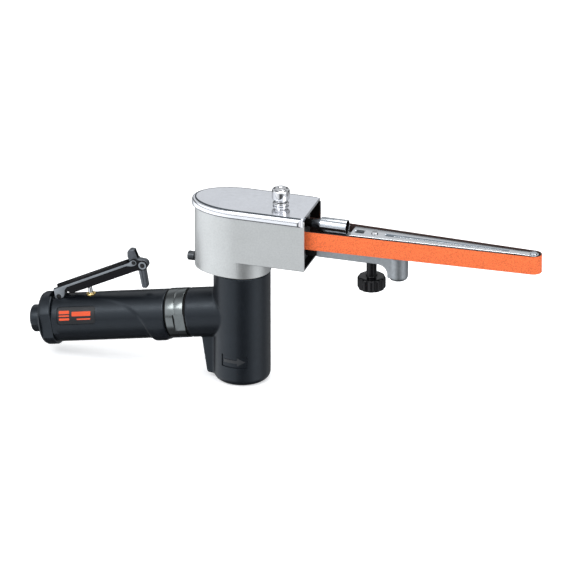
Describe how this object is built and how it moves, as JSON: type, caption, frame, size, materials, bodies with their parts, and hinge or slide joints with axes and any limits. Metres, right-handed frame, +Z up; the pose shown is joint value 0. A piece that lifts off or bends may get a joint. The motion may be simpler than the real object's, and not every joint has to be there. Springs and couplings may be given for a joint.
{
  "type": "handheld belt sander",
  "caption": "Air-powered narrow belt sander: angle motor with drooped grip and locking throttle lever, steel belt housing with lift-off lid, sprung contact arm and abrasive belt.",
  "frame": {"origin": "centre of the motor barrel's flat foot", "axes": "+X from the motor to the belt tip, along the contact arm; +Z up the motor axis; the handle lies towards -X"},
  "size_m": [0.3502, 0.0416, 0.1394],
  "materials": {
    "composite": "moulded, fine matt texture",
    "cap_composite": "moulded, matt",
    "label": "plain printed plate",
    "dark_steel": "black oxide",
    "lever_steel": "black, satin",
    "bright_steel": "bright, ground",
    "collar_steel": "dark polished",
    "stainless": "satin, blasted",
    "chrome": "polished",
    "motor_steel": "ground",
    "alloy": "cast, satin",
    "body_alloy": "turned",
    "brass": "turned",
    "bronze": "sintered",
    "rubber": "matt",
    "vane": "laminated phenolic",
    "felt": "pressed felt",
    "gloss_black": "gloss",
    "graphite": "slick platen strip",
    "abrasive": "grit-coated cloth"
  },
  "bodies": {
    "tool": {"angle_housing": "composite", "motor_cylinder": "motor_steel", "lower_end_plate": "motor_steel", "lower_bearing": "bright_steel", "upper_end_plate": "motor_steel", "upper_bearing": "bright_steel", "lock_ring": "motor_steel", "handle_grip": "composite", "label_plate": "label", "valve_body": "body_alloy", "valve_bushing": "brass", "valve_spring": "bright_steel", "collar": "collar_steel", "oring_front": "rubber", "oring_rear": "rubber", "rear_cap": "cap_composite", "inlet_bushing": "dark_steel", "inlet_screen": "bronze", "felt_silencer": "felt", "lever_pin": "dark_steel"},
    "throttle": {"throttle_lever": "lever_steel", "lever_rivet_near": "dark_steel", "lever_rivet_far": "dark_steel", "lock_pin": "dark_steel", "lock_spring": "bright_steel"},
    "lock": {"lock_off_lever": "dark_steel"},
    "valve": {"valve_stem": "chrome", "valve_disc": "rubber"},
    "rotor": {"rotor": "motor_steel", "vane_1": "vane", "vane_2": "vane", "vane_3": "vane", "vane_4": "vane", "drive_wheel": "alloy", "drive_tyre": "rubber", "wheel_screw": "dark_steel"},
    "head": {"belt_housing": "stainless", "clamp_screw": "dark_steel", "mount_block": "alloy", "tension_spring": "dark_steel", "abrasive_belt": "abrasive"},
    "lid": {"lid": "stainless"},
    "lid_knob": {"lid_knob": "chrome"},
    "arm": {"tension_rod": "dark_steel", "slide_foot": "composite", "tension_tube": "bright_steel", "arm_bracket": "alloy", "contact_arm": "bright_steel", "arm_rivet": "chrome", "platen_near": "graphite", "platen_far": "graphite", "tip_axle": "bright_steel"},
    "tip": {"tip_wheel": "bright_steel", "tip_bearing": "bronze"},
    "clamp_knob": {"clamp_knob": "gloss_black"}
  },
  "joints": [
    {"name": "throttle_press", "type": "hinge", "parent": "tool", "child": "throttle", "pos_m": [-0.1251, 0, 0.0423], "axis": [0, 1, 0], "range_deg": [0, 12], "stiffness_Nm_per_rad": 2, "springref_deg": -5.73},
    {"name": "lock_swing", "type": "hinge", "parent": "throttle", "child": "lock", "pos_m": [-0.06735, 0, 0.07221], "axis": [0, 1, 0], "range_deg": [0, 72.5]},
    {"name": "valve_push", "type": "slide", "parent": "tool", "child": "valve", "axis": [0.1736, 0, -0.9848], "range_m": [0, 0.0048], "deforming": ["valve_spring"]},
    {"name": "rotor_spin", "type": "hinge", "parent": "tool", "child": "rotor", "pos_m": [0, 0, 0], "axis": [0, 0, 1], "continuous": true},
    {"name": "head_swivel", "type": "hinge", "parent": "tool", "child": "head", "pos_m": [0, 0, 0], "axis": [0, 0, 1], "range_deg": [-120, 120]},
    {"name": "lid_lift", "type": "slide", "parent": "head", "child": "lid", "axis": [0, 0, 1], "range_m": [0, 0.045]},
    {"name": "lid_knob_turn", "type": "hinge", "parent": "lid", "child": "lid_knob", "pos_m": [0.0266, 0, 0], "axis": [0, 0, 1], "continuous": true},
    {"name": "belt_tension", "type": "slide", "parent": "head", "child": "arm", "axis": [1, 0, 0], "range_m": [-0.008, 0], "stiffness_N_per_m": 1500, "springref_m": 0.01, "deforming": ["tension_spring"]},
    {"name": "tip_spin", "type": "hinge", "parent": "arm", "child": "tip", "pos_m": [0.1995, 0, 0], "axis": [0, 0, 1], "continuous": true},
    {"name": "clamp_knob_turn", "type": "hinge", "parent": "arm", "child": "clamp_knob", "pos_m": [0.0889, 0, 0], "axis": [0, 0, 1], "continuous": true}
  ],
  "couplings": [
    {"joint": "lock_swing", "follows": "throttle_press", "ratio": 6},
    {"joint": "valve_push", "follows": "throttle_press", "m_per_rad": 0.0225},
    {"joint": "tip_spin", "follows": "rotor_spin", "ratio": 2.7021}
  ]
}
